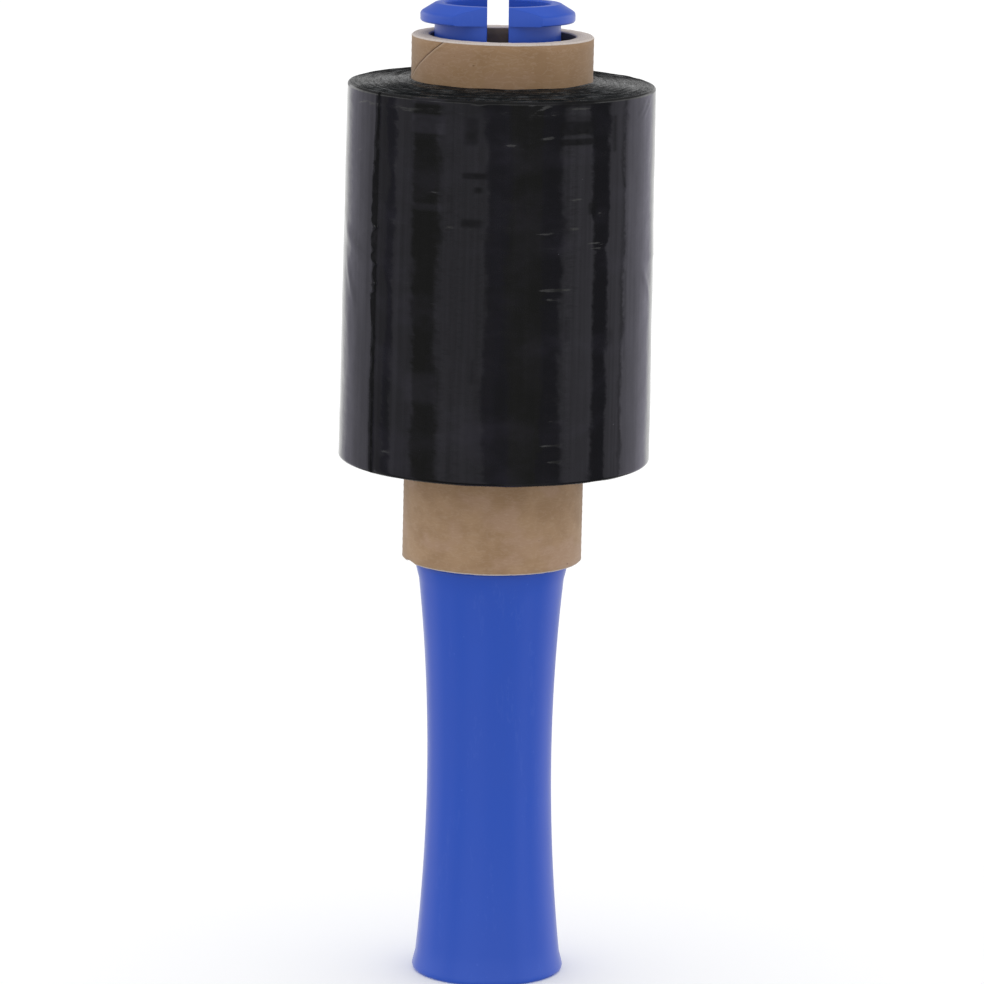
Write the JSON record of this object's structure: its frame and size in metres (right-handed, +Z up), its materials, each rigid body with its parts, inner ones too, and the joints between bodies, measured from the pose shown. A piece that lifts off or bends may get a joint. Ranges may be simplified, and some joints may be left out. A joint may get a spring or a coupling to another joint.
{
  "type": "stretch wrap roll",
  "caption": "Narrow roll of black stretch wrap on a long cardboard core, turning on a moulded plastic hand grip whose split fingers snap over the core's rim.",
  "frame": {"origin": "centre of the grip's underside, which is the plane that the roll stands on", "axes": "+Z up the handle towards the snap fingers, -Y towards the viewer of the picture, along the slot between the fingers"},
  "size_m": [0.0825, 0.0836, 0.2601],
  "materials": {
    "blue_plastic": "smooth moulded",
    "kraft_board": "matt",
    "black_film": "glossy, clinging"
  },
  "bodies": {
    "handle": {"handle": "blue_plastic"},
    "roll": {"core": "kraft_board", "film_roll": "black_film"}
  },
  "joints": [
    {"name": "roll_spin", "type": "hinge", "parent": "handle", "child": "roll", "pos_m": [0, 0.00094, 0.11243], "axis": [0.0099, -0.0208, 0.9997], "continuous": true}
  ]
}
